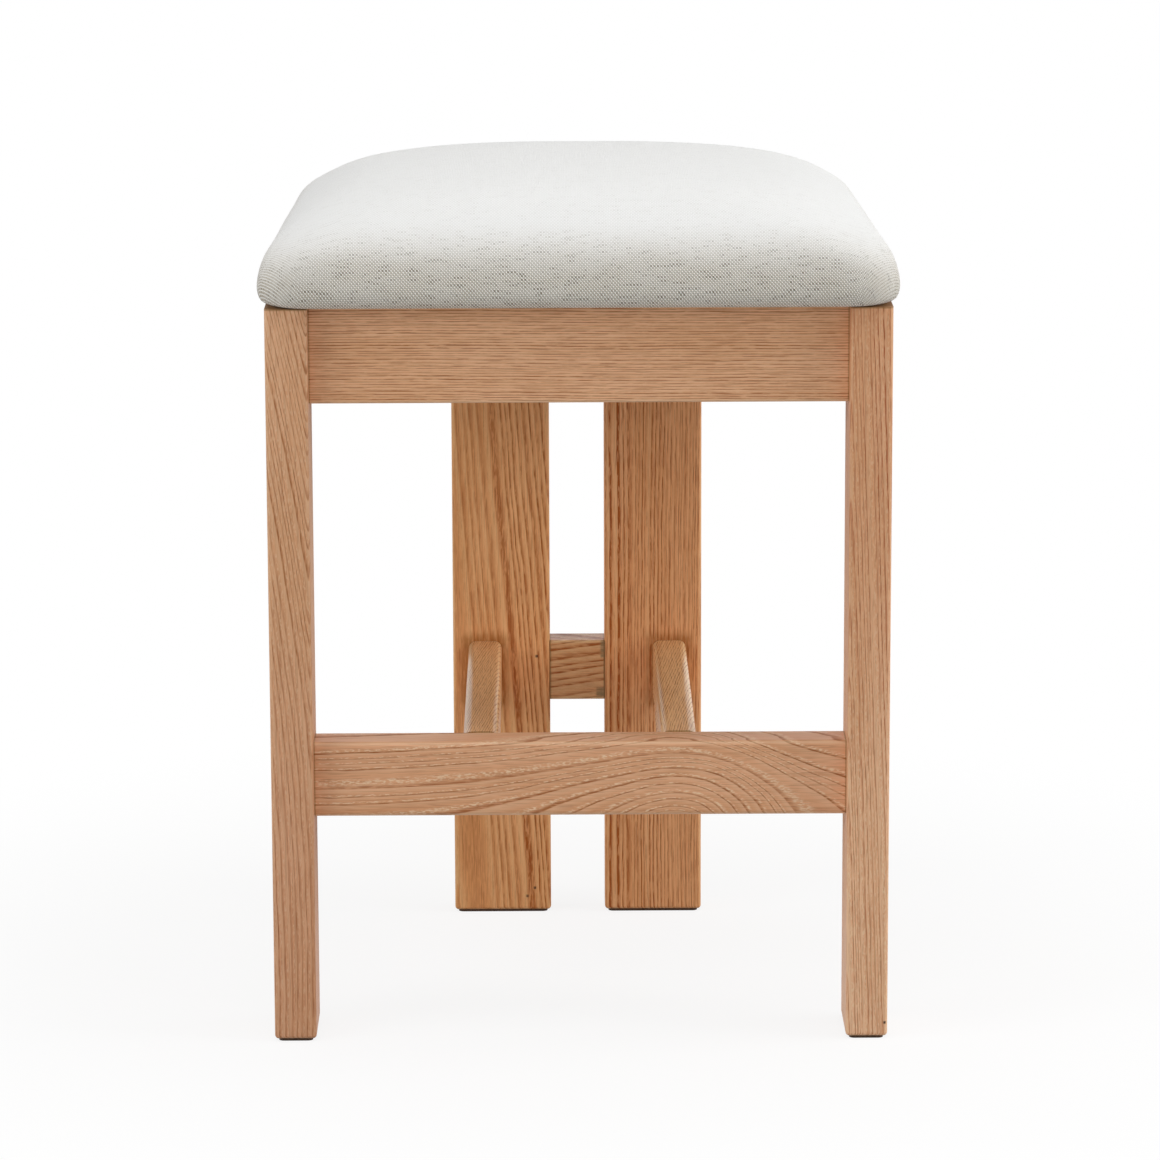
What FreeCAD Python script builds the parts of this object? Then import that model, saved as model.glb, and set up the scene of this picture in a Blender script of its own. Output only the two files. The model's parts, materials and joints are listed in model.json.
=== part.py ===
"""Kitchen stool: a padded seat on a doweled hardwood frame.

Millimetres, +Z up, the front towards -Y, +X to the right seen from the front.
The origin is on the floor, under the middle of the seat.
"""
import FreeCAD, Part
import math
import os
import Sketcher
from FreeCAD import Placement, Rotation, Vector

SIZES = {
    # Frame, over all
    "frame_width": 470,
    "frame_depth": 400,
    "frame_top": 568,
    # Legs
    "front_leg_thick": 32,
    "front_leg_depth": 65,
    "back_leg_width": 80,
    "back_leg_thick": 30,
    "back_leg_gap": 45,
    "leg_edge_round": 3,
    # Pads under the legs
    "foot_pad_thick": 2,
    "foot_pad_inset": 3,
    "foot_pad_corner": 4,
    # Aprons under the seat
    "apron_height": 74,
    "apron_thick": 22,
    "front_apron_recess": 15,
    "apron_edge_round": 2,
    # Front stretcher, which is the foot rest
    "stretcher_top": 232,
    "stretcher_height": 58,
    "stretcher_thick": 35,
    "stretcher_recess": 15,
    "stretcher_edge_round": 4,
    # Lower side rails and back rail, level with the stretcher's top
    "side_rail_width": 27,
    "side_rail_height": 50,
    "side_rail_spread": 152,
    "side_rail_edge_round": 6,
    "back_rail_height": 50,
    "back_rail_thick": 28,
    "back_rail_edge_round": 1.5,
    # Dowels: how far they enter end grain, and the wood left behind their holes in cross pieces
    "dowel_diameter": 8,
    "dowel_clearance": 0.2,
    "dowel_end_gap": 1,
    "dowel_bite": 18,
    "dowel_cover": 8,
    "back_rail_web": 13,
    "apron_dowel_spacing": 40,
    "stretcher_dowel_spacing": 30,
    "rail_dowel_spacing": 26,
    # Corner blocks
    "block_arm": 70,
    "block_tip": 10,
    "block_relief": 6,
    "block_height": 40,
    "block_drop": 2,
    # Screws
    "screw_diameter": 4,
    "screw_head_diameter": 8,
    "screw_head_thick": 3,
    "screw_point": 5,
    "screw_clearance": 0.2,
    "screw_head_clearance": 1,
    "screw_end_gap": 1,
    "screw_cover": 6,
    "block_screw_offset": 54,
    "block_screw_grip": 14,
    "seat_screw_offset": 26,
    "seat_screw_sink": 12,
    "back_leg_screw_sink": 4,
    "back_leg_screw_spacing": 44,
    "back_leg_screw_rise": 36,
    # Seat, over all
    "seat_height": 663,
    "seat_side_overhang": 9,
    "seat_front_overhang": 14,
    "seat_back_taper": 15,
    "seat_roll": 12,
    "seat_corner": 40,
    "seat_corner_growth": 165,
    "seat_side_power": 0.69,
    "seat_crown_power": 1.03,
    # Seat layers
    "cover_thick": 1.2,
    "wadding_thick": 6,
    "layer_gap": 0.3,
    "board_thick": 15,
    "board_inset": 17,
    "board_corner": 12,
    "hem_reach": 20,
    # Dust cover and staples
    "dust_cover_thick": 0.5,
    "dust_cover_margin": 6,
    "staple_crown": 10,
    "staple_wire": 0.8,
    "staple_leg": 7,
    "staple_clearance": 0.1,
}

# Angles at which the cushion's roll and crown are lofted, and the most that its corners may take of a ring
ROLL_ANGLES = (0, 30, 60)
CROWN_ANGLES = (0, 10, 20, 30, 40, 50, 60, 70, 79, 86)
LARGEST_CORNER = 0.95

# Staples along each side of the seat
SIDE_STAPLES = 4
FRONT_STAPLES = 5

doc = FreeCAD.newDocument("kitchen_stool")
sheet = doc.addObject("Spreadsheet::Sheet", "Sizes")
for row, (alias, number) in enumerate(SIZES.items(), start=1):
    sheet.set(f"A{row}", alias)
    sheet.set(f"B{row}", str(number))
    sheet.setAlias(f"B{row}", alias)
doc.recompute()

nodes = {}
holes = {}
groups = {}

# Places that several pieces share, as expressions on the sheet
half_width = "(Sizes.frame_width / 2)"
leg_inner = f"({half_width} - Sizes.front_leg_thick)"
front = "(-Sizes.frame_depth / 2)"
back = "(Sizes.frame_depth / 2)"
front_leg_back = f"({front} + Sizes.front_leg_depth)"
back_leg_front = f"({back} - Sizes.back_leg_thick)"
back_leg_inner = "(Sizes.back_leg_gap / 2)"
back_leg_middle = f"({back_leg_inner} + Sizes.back_leg_width / 2)"
apron_bottom = "(Sizes.frame_top - Sizes.apron_height)"
apron_middle = "(Sizes.frame_top - Sizes.apron_height / 2)"
front_apron_front = f"({front} + Sizes.front_apron_recess)"
front_apron_back = f"({front_apron_front} + Sizes.apron_thick)"
back_apron_front = f"({back_leg_front} - Sizes.apron_thick)"
side_apron_outer = f"({leg_inner} + Sizes.apron_thick)"
stretcher_front = f"({front} + Sizes.stretcher_recess)"
stretcher_back = f"({stretcher_front} + Sizes.stretcher_thick)"
stretcher_middle = "(Sizes.stretcher_top - Sizes.stretcher_height / 2)"
side_rail_middle = "(Sizes.stretcher_top - Sizes.side_rail_height / 2)"
back_rail_middle = "(Sizes.stretcher_top - Sizes.back_rail_height / 2)"
block_top = "(Sizes.frame_top - Sizes.block_drop)"
block_bottom = f"({block_top} - Sizes.block_height)"
board_bottom = "(Sizes.frame_top + Sizes.cover_thick)"
board_top = f"({board_bottom} + Sizes.board_thick)"
seat_half_width = f"({half_width} + Sizes.seat_side_overhang)"
seat_half_depth = f"({back} + Sizes.seat_front_overhang)"
seat_side_lean = f"(Sizes.seat_back_taper / (2 * {seat_half_depth}))"
board_half_depth = f"({seat_half_depth} - Sizes.board_inset)"
board_front_half = f"({seat_half_width} - Sizes.board_inset * (1 + {seat_side_lean}))"
board_back_half = f"({board_front_half} - 2 * {board_half_depth} * {seat_side_lean})"

SIDES = (("left", -1), ("right", 1))
CORNERS = (
    ("front_left", -1, -1, 0),
    ("front_right", 1, -1, 90),
    ("back_right", 1, 1, 180),
    ("back_left", -1, 1, 270),
)
ALONG = {
    ("X", 1): Rotation(Vector(0, 1, 0), 90),
    ("X", -1): Rotation(Vector(0, 1, 0), -90),
    ("Y", 1): Rotation(Vector(1, 0, 0), -90),
    ("Y", -1): Rotation(Vector(1, 0, 0), 90),
    ("Z", 1): Rotation(),
}
PLANE_NORMALS = {"XY_Plane": Vector(0, 0, 1), "XZ_Plane": Vector(0, 1, 0), "YZ_Plane": Vector(1, 0, 0)}

# An edge is long if this share of it lies along the bar, and at the foot if it is within this reach of it
LONG_EDGE_SHARE = 0.9
FOOT_REACH = 0.5


def size(expression):
    """The number that an expression on the sheet gives."""
    return float(sheet.evalExpression(expression))


def spot(axis, along, across, level):
    """The X, Y and Z of a point given along an axis and by its other two coordinates."""
    if axis == "X":
        return along, across, level
    if axis == "Y":
        return across, along, level
    return across, level, along


def bind_place(piece, x, y, z):
    """Tie an object's place to the sheet."""
    for letter, expression in zip("xyz", (x, y, z)):
        piece.setExpression(f"Placement.Base.{letter}", str(expression))


def outline(body, plane_role, points):
    """A closed sketch of straight lines, each corner tied to the sheet by its two coordinates."""
    plane = next(f for f in body.Origin.OriginFeatures if f.Role == plane_role)
    sketch = body.newObject("Sketcher::SketchObject", f"{body.Name}_outline")
    sketch.AttachmentSupport = [(plane, "")]
    sketch.MapMode = "FlatFace"
    corners = [Vector(*(size(c) if c else 0 for c in point), 0) for point in points]
    for first, second in zip(corners, corners[1:] + corners[:1]):
        sketch.addGeometry(Part.LineSegment(first, second), False)
    for line in range(len(corners)):
        sketch.addConstraint(Sketcher.Constraint("Coincident", line, 2, (line + 1) % len(corners), 1))
    for line, point in enumerate(points):
        for kind, axis, expression in zip(("DistanceX", "DistanceY"), (-2, -1), point):
            if not expression:
                sketch.addConstraint(Sketcher.Constraint("PointOnObject", line, 1, axis))
                continue
            constraint = Sketcher.Constraint(kind, -1, 1, line, 1, size(expression))
            index = sketch.addConstraint(constraint)
            sketch.renameConstraint(index, f"corner{line}_{kind}")
            sketch.setExpression(f"Constraints.corner{line}_{kind}", expression)
    return sketch


def rectangle(width, height):
    """The corners of a rectangle that starts at the sketch's origin."""
    return [(None, None), (width, None), (width, height), (None, height)]


def bar(name, plane_role, points, length, place, edge_round, end_edges=False, turn=0):
    """A straight piece: an outline padded to its length, with its long edges rounded."""
    body = doc.addObject("PartDesign::Body", f"{name}_blank")
    body.Label = f"{name}_blank"
    sketch = outline(body, plane_role, points)
    pad = body.newObject("PartDesign::Pad", f"{name}_pad")
    pad.Profile = sketch
    pad.Reversed = plane_role == "XZ_Plane"
    pad.setExpression("Length", length)
    doc.recompute()
    if edge_round:
        direction = PLANE_NORMALS[plane_role]
        chosen = []
        for number, edge in enumerate(pad.Shape.Edges, start=1):
            run = edge.Vertexes[-1].Point - edge.Vertexes[0].Point
            is_long = abs(run.dot(direction)) > LONG_EDGE_SHARE * run.Length
            at_foot = max(v.Point.dot(direction) for v in edge.Vertexes) < FOOT_REACH
            if is_long or (end_edges and at_foot):
                chosen.append(f"Edge{number}")
        fillet = body.newObject("PartDesign::Fillet", f"{name}_round")
        fillet.Base = (pad, chosen)
        fillet.setExpression("Radius", edge_round)
        body.Tip = fillet
    body.Placement = Placement(Vector(), Rotation(Vector(0, 0, 1), turn))
    bind_place(body, *place)
    nodes[name] = body
    return body


def rod(name, axis, start, length, across, level, diameter):
    """A plain cylinder along an axis, from its start; across and level are its other two coordinates."""
    cylinder = doc.addObject("Part::Cylinder", name)
    cylinder.Placement = Placement(Vector(), ALONG[axis, 1])
    cylinder.setExpression("Radius", f"({diameter}) / 2")
    cylinder.setExpression("Height", length)
    bind_place(cylinder, *spot(axis, start, across, level))
    return cylinder


def drill(pieces, hole):
    """Note that a hole goes through each of these pieces."""
    for piece in pieces:
        holes.setdefault(piece, []).append(hole)


def dowels(group, pieces, axis, seam, bites, across, middle, spacing):
    """Two dowels across a seam, one above the other, and their blind holes in both pieces."""
    for step in (-1, 1):
        level = f"({middle} + {step} * {spacing} / 2)"
        start = f"({seam} - ({bites[0]}))"
        length = f"(({bites[0]}) + ({bites[1]}))"
        groups.setdefault(group, []).append(
            rod(f"{group}_rod", axis, start, length, across, level, "Sizes.dowel_diameter")
        )
        hole_start = f"({start} - Sizes.dowel_end_gap)"
        hole_length = f"({length} + 2 * Sizes.dowel_end_gap)"
        hole_diameter = "Sizes.dowel_diameter + Sizes.dowel_clearance"
        drill(pieces, rod(f"{group}_hole", axis, hole_start, hole_length, across, level, hole_diameter))


def screw(group, headed, pieces, axis, sign, seat, length, across, level, sink):
    """A pan-head screw whose head bears at seat, its shank hole and the sunk hole for its head."""
    body = doc.addObject("PartDesign::Body", f"{group}_screw")
    head = "Sizes.screw_head_thick"
    radius = "Sizes.screw_diameter / 2"
    head_radius = "Sizes.screw_head_diameter / 2"
    profile = outline(body, "XZ_Plane", [
        (None, None),
        (head_radius, None),
        (head_radius, head),
        (radius, head),
        (radius, f"{head} + {length} - Sizes.screw_point"),
        (None, f"{head} + {length}"),
    ])
    turned = body.newObject("PartDesign::Revolution", f"{group}_turned")
    turned.Profile = profile
    turned.ReferenceAxis = (profile, ["V_Axis"])
    turned.Angle = 360
    body.Placement = Placement(Vector(), ALONG[axis, sign])
    top = f"({seat} - {sign} * {head})"
    bind_place(body, *spot(axis, top, across, level))
    groups.setdefault(group, []).append(body)
    shank = f"({length} + Sizes.screw_end_gap)"
    shank_start = seat if sign > 0 else f"({seat} - {shank})"
    sink_start = f"({seat} - ({sink}))" if sign > 0 else seat
    shank_diameter = "Sizes.screw_diameter + Sizes.screw_clearance"
    sink_diameter = "Sizes.screw_head_diameter + Sizes.screw_head_clearance"
    drill([headed] + pieces, rod(f"{group}_hole", axis, shank_start, shank, across, level, shank_diameter))
    drill([headed], rod(f"{group}_sink", axis, sink_start, sink, across, level, sink_diameter))


# Legs, and the pads under them
leg_height = "(Sizes.frame_top - Sizes.foot_pad_thick)"
foot = "Sizes.foot_pad_thick"
pad_trim = "2 * Sizes.foot_pad_inset"
for side, sign in SIDES:
    leg_left = f"-{half_width}" if sign < 0 else leg_inner
    back_leg_left = f"(-{back_leg_inner} - Sizes.back_leg_width)" if sign < 0 else back_leg_inner
    legs = (
        (f"front_leg_{side}", "Sizes.front_leg_thick", "Sizes.front_leg_depth", leg_left, front),
        (f"back_leg_{side}", "Sizes.back_leg_width", "Sizes.back_leg_thick", back_leg_left, back_leg_front),
    )
    for name, width, depth, x, y in legs:
        bar(name, "XY_Plane", rectangle(width, depth), leg_height, (x, y, foot), "Sizes.leg_edge_round", True)
        bar(
            name.replace("leg", "foot_pad"),
            "XY_Plane",
            rectangle(f"{width} - {pad_trim}", f"{depth} - {pad_trim}"),
            "Sizes.foot_pad_thick",
            (f"{x} + Sizes.foot_pad_inset", f"{y} + Sizes.foot_pad_inset", 0),
            "Sizes.foot_pad_corner",
        )

# Aprons: the side ones lie flush with the legs' inner faces, the back one in front of the back legs
apron_section = rectangle("Sizes.apron_thick", "Sizes.apron_height")
apron_round = "Sizes.apron_edge_round"
between_legs = f"2 * {leg_inner}"
front_apron_place = (f"-{leg_inner}", front_apron_front, apron_bottom)
bar("front_apron", "YZ_Plane", apron_section, between_legs, front_apron_place, apron_round)
back_apron_place = (f"-{side_apron_outer}", back_apron_front, apron_bottom)
bar("back_apron", "YZ_Plane", apron_section, f"2 * {side_apron_outer}", back_apron_place, apron_round)
side_apron_length = f"{back_apron_front} - {front_leg_back}"
for side, sign in SIDES:
    x = f"-{side_apron_outer}" if sign < 0 else leg_inner
    place = (x, front_leg_back, apron_bottom)
    bar(f"side_apron_{side}", "XZ_Plane", apron_section, side_apron_length, place, apron_round)

# Foot rest and lower rails
bar(
    "front_stretcher",
    "YZ_Plane",
    rectangle("Sizes.stretcher_thick", "Sizes.stretcher_height"),
    between_legs,
    (f"-{leg_inner}", stretcher_front, "Sizes.stretcher_top - Sizes.stretcher_height"),
    "Sizes.stretcher_edge_round",
)
for side, sign in SIDES:
    bar(
        f"side_rail_{side}",
        "XZ_Plane",
        rectangle("Sizes.side_rail_width", "Sizes.side_rail_height"),
        f"{back_leg_front} - {stretcher_back}",
        (
            f"{sign} * Sizes.side_rail_spread / 2 - Sizes.side_rail_width / 2",
            stretcher_back,
            "Sizes.stretcher_top - Sizes.side_rail_height",
        ),
        "Sizes.side_rail_edge_round",
    )
bar(
    "back_rail",
    "YZ_Plane",
    rectangle("Sizes.back_rail_thick", "Sizes.back_rail_height"),
    "Sizes.back_leg_gap",
    (
        f"-{back_leg_inner}",
        f"{back_leg_front} + (Sizes.back_leg_thick - Sizes.back_rail_thick) / 2",
        "Sizes.stretcher_top - Sizes.back_rail_height",
    ),
    "Sizes.back_rail_edge_round",
)

# Corner blocks: six-sided, with their inner corner cut back for glue
block_outline = [
    ("Sizes.block_relief", None),
    ("Sizes.block_arm", None),
    ("Sizes.block_arm", "Sizes.block_tip"),
    ("Sizes.block_tip", "Sizes.block_arm"),
    (None, "Sizes.block_arm"),
    (None, "Sizes.block_relief"),
]
for corner, x_sign, y_sign, turn in CORNERS:
    corner_x = f"({x_sign} * {leg_inner})"
    corner_y = front_apron_back if y_sign < 0 else back_apron_front
    place = (corner_x, corner_y, block_bottom)
    bar(f"corner_block_{corner}", "XY_Plane", block_outline, "Sizes.block_height", place, None, turn=turn)

# Seat board, which draws in to the back with the seat, and dust cover
board_outline = [
    (None, None),
    (f"2 * {board_front_half}", None),
    (f"{board_front_half} + {board_back_half}", f"2 * {board_half_depth}"),
    (f"{board_front_half} - {board_back_half}", f"2 * {board_half_depth}"),
]
board_place = (f"-{board_front_half}", f"-{board_half_depth}", board_bottom)
bar("seat_board", "XY_Plane", board_outline, "Sizes.board_thick", board_place, "Sizes.board_corner")
bar(
    "dust_cover",
    "XY_Plane",
    rectangle(
        f"2 * ({leg_inner} - Sizes.dust_cover_margin)",
        f"{back_apron_front} - {front_apron_back} - 2 * Sizes.dust_cover_margin",
    ),
    "Sizes.dust_cover_thick",
    (
        f"Sizes.dust_cover_margin - {leg_inner}",
        f"{front_apron_back} + Sizes.dust_cover_margin",
        "Sizes.frame_top - Sizes.dust_cover_thick",
    ),
    None,
)

# Dowel joints
in_front_leg = "Sizes.front_leg_thick - Sizes.dowel_cover"
in_back_leg = "Sizes.back_leg_thick - Sizes.dowel_cover"
in_stretcher = "Sizes.stretcher_thick - Sizes.dowel_cover"
in_back_apron = "Sizes.apron_thick - Sizes.dowel_cover"
in_end_grain = "Sizes.dowel_bite"
in_back_rail = "(Sizes.back_leg_gap - Sizes.back_rail_web) / 2"
for side, sign in SIDES:
    seam = f"({sign} * {leg_inner})"
    bites = (in_front_leg, in_end_grain) if sign < 0 else (in_end_grain, in_front_leg)
    front_leg = f"front_leg_{side}"
    back_leg = f"back_leg_{side}"
    side_apron = f"side_apron_{side}"
    side_rail = f"side_rail_{side}"
    across = f"({front_apron_front} + Sizes.apron_thick / 2)"
    spacing = "Sizes.apron_dowel_spacing"
    dowels("front_apron_dowels", (front_leg, "front_apron"), "X", seam, bites, across, apron_middle, spacing)
    across = f"({sign} * ({leg_inner} + Sizes.apron_thick / 2))"
    bites_front = (in_end_grain, in_end_grain)
    bites_back = (in_end_grain, in_back_apron)
    pieces = (front_leg, side_apron)
    dowels("side_apron_dowels", pieces, "Y", front_leg_back, bites_front, across, apron_middle, spacing)
    pieces = (side_apron, "back_apron")
    dowels("side_apron_dowels", pieces, "Y", back_apron_front, bites_back, across, apron_middle, spacing)
    across = f"({stretcher_front} + Sizes.stretcher_thick / 2)"
    pieces = (front_leg, "front_stretcher")
    spacing = "Sizes.stretcher_dowel_spacing"
    dowels("front_stretcher_dowels", pieces, "X", seam, bites, across, stretcher_middle, spacing)
    across = f"({sign} * Sizes.side_rail_spread / 2)"
    spacing = "Sizes.rail_dowel_spacing"
    bites_front = (in_stretcher, in_end_grain)
    bites_back = (in_end_grain, in_back_leg)
    pieces = ("front_stretcher", side_rail)
    dowels("side_rail_dowels", pieces, "Y", stretcher_back, bites_front, across, side_rail_middle, spacing)
    pieces = (side_rail, back_leg)
    dowels("side_rail_dowels", pieces, "Y", back_leg_front, bites_back, across, side_rail_middle, spacing)
    seam = f"({sign} * {back_leg_inner})"
    bites = (in_end_grain, in_back_rail) if sign < 0 else (in_back_rail, in_end_grain)
    across = f"({back} - Sizes.back_leg_thick / 2)"
    pieces = (back_leg, "back_rail")
    dowels("back_rail_dowels", pieces, "X", seam, bites, across, back_rail_middle, spacing)

# Screws of the corner blocks, and through them into the seat board
block_screw_length = "(Sizes.block_screw_grip + Sizes.apron_thick - Sizes.screw_cover)"
block_middle = f"({block_bottom} + Sizes.block_height / 2)"
seat_screw_seat = f"({block_bottom} + Sizes.seat_screw_sink)"
seat_screw_length = f"({board_top} - Sizes.screw_cover - {seat_screw_seat})"
for corner, x_sign, y_sign, turn in CORNERS:
    block = f"corner_block_{corner}"
    corner_x = f"({x_sign} * {leg_inner})"
    corner_y = front_apron_back if y_sign < 0 else back_apron_front
    end_apron = "front_apron" if y_sign < 0 else "back_apron"
    side_apron = "side_apron_left" if x_sign < 0 else "side_apron_right"
    seat = f"({corner_y} - {y_sign} * Sizes.block_screw_grip)"
    across = f"({corner_x} - {x_sign} * Sizes.block_screw_offset)"
    group = "corner_block_screws"
    sink = "Sizes.block_arm"
    screw(group, block, [end_apron], "Y", y_sign, seat, block_screw_length, across, block_middle, sink)
    seat = f"({corner_x} - {x_sign} * Sizes.block_screw_grip)"
    across = f"({corner_y} - {y_sign} * Sizes.block_screw_offset)"
    screw(group, block, [side_apron], "X", x_sign, seat, block_screw_length, across, block_middle, sink)
    screw(
        "seat_screws",
        block,
        ["dust_cover", "seat_cover", "seat_board"],
        "Z",
        1,
        seat_screw_seat,
        seat_screw_length,
        f"({corner_x} - {x_sign} * Sizes.seat_screw_offset)",
        f"({corner_y} - {y_sign} * Sizes.seat_screw_offset)",
        "Sizes.seat_screw_sink",
    )

# Screws from inside the frame, through the back apron into the back legs
back_leg_screw_seat = f"({back_apron_front} + Sizes.back_leg_screw_sink)"
back_leg_screw_length = f"({back} - Sizes.screw_cover - {back_leg_screw_seat})"
for side, sign in SIDES:
    for column in (-1, 1):
        for step in (-1, 1):
            screw(
                "back_leg_screws",
                "back_apron",
                [f"back_leg_{side}"],
                "Y",
                1,
                back_leg_screw_seat,
                back_leg_screw_length,
                f"({sign} * {back_leg_middle} + {column} * Sizes.back_leg_screw_spacing / 2)",
                f"({apron_middle} + {step} * Sizes.back_leg_screw_rise / 2)",
                "Sizes.back_leg_screw_sink",
            )
doc.recompute()


def ring(front_half, back_half, half_depth, corner, height):
    """A level outline whose sides draw in to the back, with an arc at each corner."""
    points = [
        Vector(back_half, half_depth, height),
        Vector(-back_half, half_depth, height),
        Vector(-front_half, -half_depth, height),
        Vector(front_half, -half_depth, height),
    ]
    arcs = []
    for before, point, after in zip(points[-1:] + points[:-1], points, points[1:] + points[:1]):
        backward = (before - point).normalize()
        onward = (after - point).normalize()
        half_angle = backward.getAngle(onward) / 2
        setback = corner / math.tan(half_angle)
        inward = (backward + onward).normalize()
        middle = point + inward * (corner / math.sin(half_angle) - corner)
        arcs.append((point + backward * setback, middle, point + onward * setback))
    edges = []
    for arc, following in zip(arcs, arcs[1:] + arcs[:1]):
        edges.append(Part.Arc(*arc).toShape())
        edges.append(Part.LineSegment(arc[2], following[0]).toShape())
    return Part.Wire(edges)


def cushion(inset):
    """The seat's form, drawn in all round by an inset: a rolled lower edge, leaning sides and a crown."""
    half_w = size(seat_half_width) - inset
    back_half = half_w - sheet.seat_back_taper
    half_d = size(seat_half_depth) - inset
    corner = sheet.seat_corner - inset
    roll = sheet.seat_roll - inset
    widest = sheet.frame_top + sheet.seat_roll
    rise = sheet.seat_height - inset - widest
    rings = []
    for angle in ROLL_ANGLES:
        draw_in = roll * (1 - math.sin(math.radians(angle)))
        level = widest - roll * math.cos(math.radians(angle))
        rings.append(ring(half_w - draw_in, back_half - draw_in, half_d - draw_in, corner - draw_in, level))
    for angle in CROWN_ANGLES:
        share = math.cos(math.radians(angle)) ** sheet.seat_side_power
        grown = min(corner + sheet.seat_corner_growth * (1 - share), LARGEST_CORNER * half_d * share)
        level = widest + rise * math.sin(math.radians(angle)) ** sheet.seat_crown_power
        rings.append(ring(half_w * share, back_half * share, half_d * share, grown, level))
    return Part.makeLoft(rings, True, False)


def slab(half_w, low_y, high_y, low_z, high_z):
    """A plain box about the middle of the stool, for clearing space."""
    return Part.makeBox(2 * half_w, high_y - low_y, high_z - low_z, Vector(-half_w, low_y, low_z))


def add_shape(name, shape):
    """A piece whose shape is worked out here rather than sketched."""
    piece = doc.addObject("Part::Feature", name)
    piece.Label = name
    piece.Shape = shape
    piece.Placement = Placement()
    nodes[name] = piece


def staple_parts(clearance):
    """Every staple: its crown under the dust cover, and its two legs up into the seat board."""
    wire = sheet.staple_wire
    crown_half = sheet.staple_crown / 2
    line_inset = (sheet.hem_reach + sheet.dust_cover_margin) / 2
    side_x = size(leg_inner) - line_inset
    near_y = size(front_apron_back) + line_inset
    far_y = size(back_apron_front) - line_inset
    places = []
    for step in range(1, FRONT_STAPLES + 1):
        x = side_x * (2 * step / (FRONT_STAPLES + 1) - 1)
        places += [(x, near_y, 0), (x, far_y, 0)]
    for step in range(1, SIDE_STAPLES + 1):
        y = near_y + (far_y - near_y) * step / (SIDE_STAPLES + 1)
        places += [(-side_x, y, 90), (side_x, y, 90)]
    under = sheet.frame_top - sheet.dust_cover_thick
    leg = wire + 2 * clearance
    parts = []
    for x, y, turn in places:
        crown = Part.makeBox(2 * crown_half, wire, wire, Vector(-crown_half, -wire / 2, -wire))
        legs = []
        for end in (-1, 1):
            foot_x = end * (crown_half - wire / 2) - leg / 2
            legs.append(Part.makeBox(leg, leg, sheet.staple_leg + clearance, Vector(foot_x, -leg / 2, 0)))
        place = Placement(Vector(x, y, under), Rotation(Vector(0, 0, 1), turn))
        pieces = legs if clearance else [crown.fuse(legs)]
        for piece in pieces:
            piece.Placement = place.multiply(piece.Placement)
            parts.append(piece)
    return parts


# Soft layers of the seat, from the cover inwards
seat_floor = sheet.frame_top - sheet.seat_roll
wide = size(seat_half_width)
deep = size(seat_half_depth)
under_cover = sheet.cover_thick + sheet.layer_gap
under_wadding = under_cover + sheet.wadding_thick
foam_top_space = slab(wide, -deep, deep, seat_floor, size(board_top) + sheet.layer_gap)
foam_space = cushion(under_wadding).cut(slab(wide, -deep, deep, seat_floor, size(board_top)))
board_edge = ring(
    size(board_front_half) + sheet.layer_gap,
    size(board_back_half) + sheet.layer_gap,
    size(board_half_depth) + sheet.layer_gap,
    sheet.board_corner + sheet.layer_gap,
    seat_floor,
)
board_space = Part.Face(board_edge).extrude(Vector(0, 0, size(board_top) + sheet.layer_gap - seat_floor))
add_shape("seat_foam", cushion(under_wadding + sheet.layer_gap).cut(foam_top_space))
add_shape("seat_wadding", cushion(under_cover).cut([foam_space, board_space]))
hem_opening = slab(
    size(leg_inner) - sheet.hem_reach,
    size(front_apron_back) + sheet.hem_reach,
    size(back_apron_front) - sheet.hem_reach,
    seat_floor,
    size(board_bottom) + sheet.layer_gap,
)
add_shape("seat_cover", cushion(0).cut(cushion(sheet.cover_thick)).cut(hem_opening))
staple_holes = doc.addObject("Part::Feature", "staple_holes")
staple_holes.Shape = Part.makeCompound(staple_parts(sheet.staple_clearance))
drill(["dust_cover", "seat_cover", "seat_board"], staple_holes)
add_shape("cover_staples", Part.makeCompound(staple_parts(0)))

# Holes are cut last, each piece by its own set
for name, tools in holes.items():
    tool = doc.addObject("Part::MultiFuse", f"{name}_holes")
    tool.Shapes = tools
    drilled = doc.addObject("Part::Cut", f"{name}_drilled")
    drilled.Base = nodes[name]
    drilled.Tool = tool
    nodes[name] = drilled
for name, members in groups.items():
    nodes[name] = doc.addObject("Part::Compound", name)
    nodes[name].Links = members
doc.recompute()

for item in doc.Objects:
    if {"Invalid", "Error"} & set(item.State):
        raise RuntimeError(f"{item.Label} failed: {item.State}")
for name, node in nodes.items():
    if node.Shape.isNull() or not node.Shape.isValid() or not node.Shape.Solids:
        raise RuntimeError(f"{name} has no sound shape")
for name, node in nodes.items():
    if node.Label != name:
        node.Label = name

os.makedirs("parts", exist_ok=True)
for name, node in sorted(nodes.items()):
    node.Shape.exportStep(f"parts/{name}.step")
    print(f"{name}: {len(node.Shape.Solids)} solid(s), {node.Shape.Volume / 1000:.2f} cm3")
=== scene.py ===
# %% [markdown]
# # A kitchen stool, dressed for its picture
# The stool's bars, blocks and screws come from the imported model, which is a fixed frame: nothing in it
# is moved or reshaped here. This lesson gives every bar its wood, sews and stuffs the padded seat, and
# sets up a small white studio.

# %% Load the frame
import json
import math

import bmesh
import bpy
from mathutils import Matrix, Vector

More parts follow.
